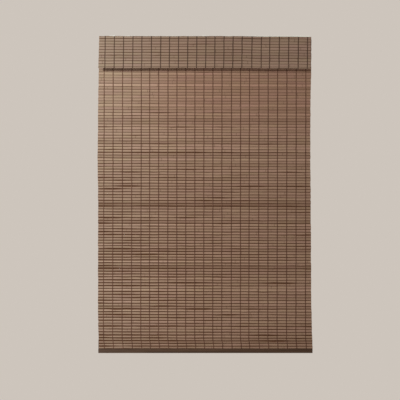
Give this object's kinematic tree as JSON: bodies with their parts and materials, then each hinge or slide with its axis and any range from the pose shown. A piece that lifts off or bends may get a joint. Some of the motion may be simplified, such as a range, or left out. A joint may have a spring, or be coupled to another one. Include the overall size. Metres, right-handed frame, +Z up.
{
  "type": "bamboo roman blind",
  "caption": "Roman blind of brown bamboo slats woven on dark yarn, with a slatted valance, a headrail with cordless spring lift, and a dark wooden bottom rail.",
  "frame": {"origin": "centre of the top face of the middle bracket, midway across the headrail, where the blind is screwed up", "axes": "+X to the right seen from the front, +Y from the front to the back, +Z up"},
  "size_m": [1.1011, 0.0604, 1.626],
  "materials": {
    "bamboo": "satin",
    "yarn": "matte",
    "rail_wood": "satin",
    "batten_wood": "matte",
    "headrail_paint": "satin",
    "cap_plastic": "matte",
    "bracket_steel": "satin",
    "spring_steel": "satin",
    "mechanism_plastic": "matte",
    "drum_plastic": "matte",
    "ring_plastic": "satin",
    "cord": "matte",
    "tape": "matte"
  },
  "bodies": {
    "head": {"headrail": "headrail_paint", "end_cap_left": "cap_plastic", "end_cap_right": "cap_plastic", "bracket_left": "bracket_steel", "bracket_centre": "bracket_steel", "bracket_right": "bracket_steel", "drum_cradles": "mechanism_plastic", "motor_case_left": "mechanism_plastic", "motor_case_right": "mechanism_plastic", "motor_spring": "spring_steel", "head_batten": "batten_wood", "batten_screws": "spring_steel", "hook_loop_tape": "tape", "valance_slats": "bamboo", "valance_yarns": "yarn", "top_slats": "bamboo", "top_yarns": "yarn", "lift_cords": "cord"},
    "shaft": {"lift_shaft": "spring_steel", "drum_left": "drum_plastic", "drum_centre": "drum_plastic", "drum_right": "drum_plastic", "output_drum": "drum_plastic", "cord_turns": "cord"},
    "storage": {"storage_drum": "drum_plastic"},
    "upper_1": {"upper_1_slats": "bamboo", "upper_1_yarns": "yarn"},
    "lower_1": {"lower_1_slats": "bamboo", "lower_1_yarns": "yarn"},
    "ring_row_1": {"ring_row_1": "ring_plastic"},
    "upper_2": {"upper_2_slats": "bamboo", "upper_2_yarns": "yarn"},
    "lower_2": {"lower_2_slats": "bamboo", "lower_2_yarns": "yarn"},
    "ring_row_2": {"ring_row_2": "ring_plastic"},
    "upper_3": {"upper_3_slats": "bamboo", "upper_3_yarns": "yarn"},
    "lower_3": {"lower_3_slats": "bamboo", "lower_3_yarns": "yarn"},
    "ring_row_3": {"ring_row_3": "ring_plastic"},
    "upper_4": {"upper_4_slats": "bamboo", "upper_4_yarns": "yarn"},
    "lower_4": {"lower_4_slats": "bamboo", "lower_4_yarns": "yarn"},
    "ring_row_4": {"ring_row_4": "ring_plastic"},
    "upper_5": {"upper_5_slats": "bamboo", "upper_5_yarns": "yarn"},
    "lower_5": {"lower_5_slats": "bamboo", "lower_5_yarns": "yarn"},
    "ring_row_5": {"ring_row_5": "ring_plastic"},
    "upper_6": {"upper_6_slats": "bamboo", "upper_6_yarns": "yarn"},
    "lower_6": {"lower_6_slats": "bamboo", "lower_6_yarns": "yarn"},
    "bottom": {"hem_slats": "bamboo", "hem_yarns": "yarn", "bottom_rail": "rail_wood", "cord_anchors": "drum_plastic"}
  },
  "joints": [
    {"name": "fold_1", "type": "hinge", "parent": "head", "child": "upper_1", "pos_m": [0, -0.0243, -0.1744], "axis": [-1, 0, 0], "range_deg": [0, 87], "deforming": ["lift_cords"]},
    {"name": "fold_2", "type": "hinge", "parent": "upper_1", "child": "lower_1", "pos_m": [0, -0.0199, -0.2923], "axis": [1, 0, 0], "range_deg": [0, 174]},
    {"name": "ring_turn_1", "type": "hinge", "parent": "lower_1", "child": "ring_row_1", "pos_m": [0, -0.0243, -0.4102], "axis": [-1, 0, 0], "range_deg": [0, 87]},
    {"name": "fold_3", "type": "hinge", "parent": "lower_1", "child": "upper_2", "pos_m": [0, -0.0243, -0.4102], "axis": [-1, 0, 0], "range_deg": [0, 174]},
    {"name": "fold_4", "type": "hinge", "parent": "upper_2", "child": "lower_2", "pos_m": [0, -0.0199, -0.5262], "axis": [1, 0, 0], "range_deg": [0, 174]},
    {"name": "ring_turn_2", "type": "hinge", "parent": "lower_2", "child": "ring_row_2", "pos_m": [0, -0.0243, -0.6422], "axis": [-1, 0, 0], "range_deg": [0, 87]},
    {"name": "fold_5", "type": "hinge", "parent": "lower_2", "child": "upper_3", "pos_m": [0, -0.0243, -0.6422], "axis": [-1, 0, 0], "range_deg": [0, 174]},
    {"name": "fold_6", "type": "hinge", "parent": "upper_3", "child": "lower_3", "pos_m": [0, -0.0199, -0.75825], "axis": [1, 0, 0], "range_deg": [0, 174]},
    {"name": "ring_turn_3", "type": "hinge", "parent": "lower_3", "child": "ring_row_3", "pos_m": [0, -0.0243, -0.8743], "axis": [-1, 0, 0], "range_deg": [0, 87]},
    {"name": "fold_7", "type": "hinge", "parent": "lower_3", "child": "upper_4", "pos_m": [0, -0.0243, -0.8743], "axis": [-1, 0, 0], "range_deg": [0, 174]},
    {"name": "fold_8", "type": "hinge", "parent": "upper_4", "child": "lower_4", "pos_m": [0, -0.0199, -0.99065], "axis": [1, 0, 0], "range_deg": [0, 174]},
    {"name": "ring_turn_4", "type": "hinge", "parent": "lower_4", "child": "ring_row_4", "pos_m": [0, -0.0243, -1.107], "axis": [-1, 0, 0], "range_deg": [0, 87]},
    {"name": "fold_9", "type": "hinge", "parent": "lower_4", "child": "upper_5", "pos_m": [0, -0.0243, -1.107], "axis": [-1, 0, 0], "range_deg": [0, 174]},
    {"name": "fold_10", "type": "hinge", "parent": "upper_5", "child": "lower_5", "pos_m": [0, -0.0199, -1.2246], "axis": [1, 0, 0], "range_deg": [0, 174]},
    {"name": "ring_turn_5", "type": "hinge", "parent": "lower_5", "child": "ring_row_5", "pos_m": [0, -0.0243, -1.3422], "axis": [-1, 0, 0], "range_deg": [0, 87]},
    {"name": "fold_11", "type": "hinge", "parent": "lower_5", "child": "upper_6", "pos_m": [0, -0.0243, -1.3422], "axis": [-1, 0, 0], "range_deg": [0, 174]},
    {"name": "fold_12", "type": "hinge", "parent": "upper_6", "child": "lower_6", "pos_m": [0, -0.0199, -1.44555], "axis": [1, 0, 0], "range_deg": [0, 174]},
    {"name": "fold_13", "type": "hinge", "parent": "lower_6", "child": "bottom", "pos_m": [0, -0.0243, -1.5489], "axis": [-1, 0, 0], "range_deg": [0, 87]},
    {"name": "shaft_turn", "type": "hinge", "parent": "head", "child": "shaft", "pos_m": [0, -0.0035, -0.021], "axis": [-1, 0, 0], "continuous": true},
    {"name": "storage_turn", "type": "hinge", "parent": "head", "child": "storage", "pos_m": [-0.225, 0.0111, -0.021], "axis": [-1, 0, 0], "continuous": true}
  ],
  "couplings": [
    {"joint": "fold_2", "follows": "fold_1", "ratio": 2},
    {"joint": "ring_turn_1", "follows": "fold_1", "ratio": 1},
    {"joint": "fold_3", "follows": "fold_1", "ratio": 2},
    {"joint": "fold_4", "follows": "fold_1", "ratio": 2},
    {"joint": "ring_turn_2", "follows": "fold_1", "ratio": 1},
    {"joint": "fold_5", "follows": "fold_1", "ratio": 2},
    {"joint": "fold_6", "follows": "fold_1", "ratio": 2},
    {"joint": "ring_turn_3", "follows": "fold_1", "ratio": 1},
    {"joint": "fold_7", "follows": "fold_1", "ratio": 2},
    {"joint": "fold_8", "follows": "fold_1", "ratio": 2},
    {"joint": "ring_turn_4", "follows": "fold_1", "ratio": 1},
    {"joint": "fold_9", "follows": "fold_1", "ratio": 2},
    {"joint": "fold_10", "follows": "fold_1", "ratio": 2},
    {"joint": "ring_turn_5", "follows": "fold_1", "ratio": 1},
    {"joint": "fold_11", "follows": "fold_1", "ratio": 2},
    {"joint": "fold_12", "follows": "fold_1", "ratio": 2},
    {"joint": "fold_13", "follows": "fold_1", "ratio": 1},
    {"joint": "shaft_turn", "follows": "fold_1", "ratio": 84.856},
    {"joint": "storage_turn", "follows": "fold_1", "ratio": -69.582}
  ]
}
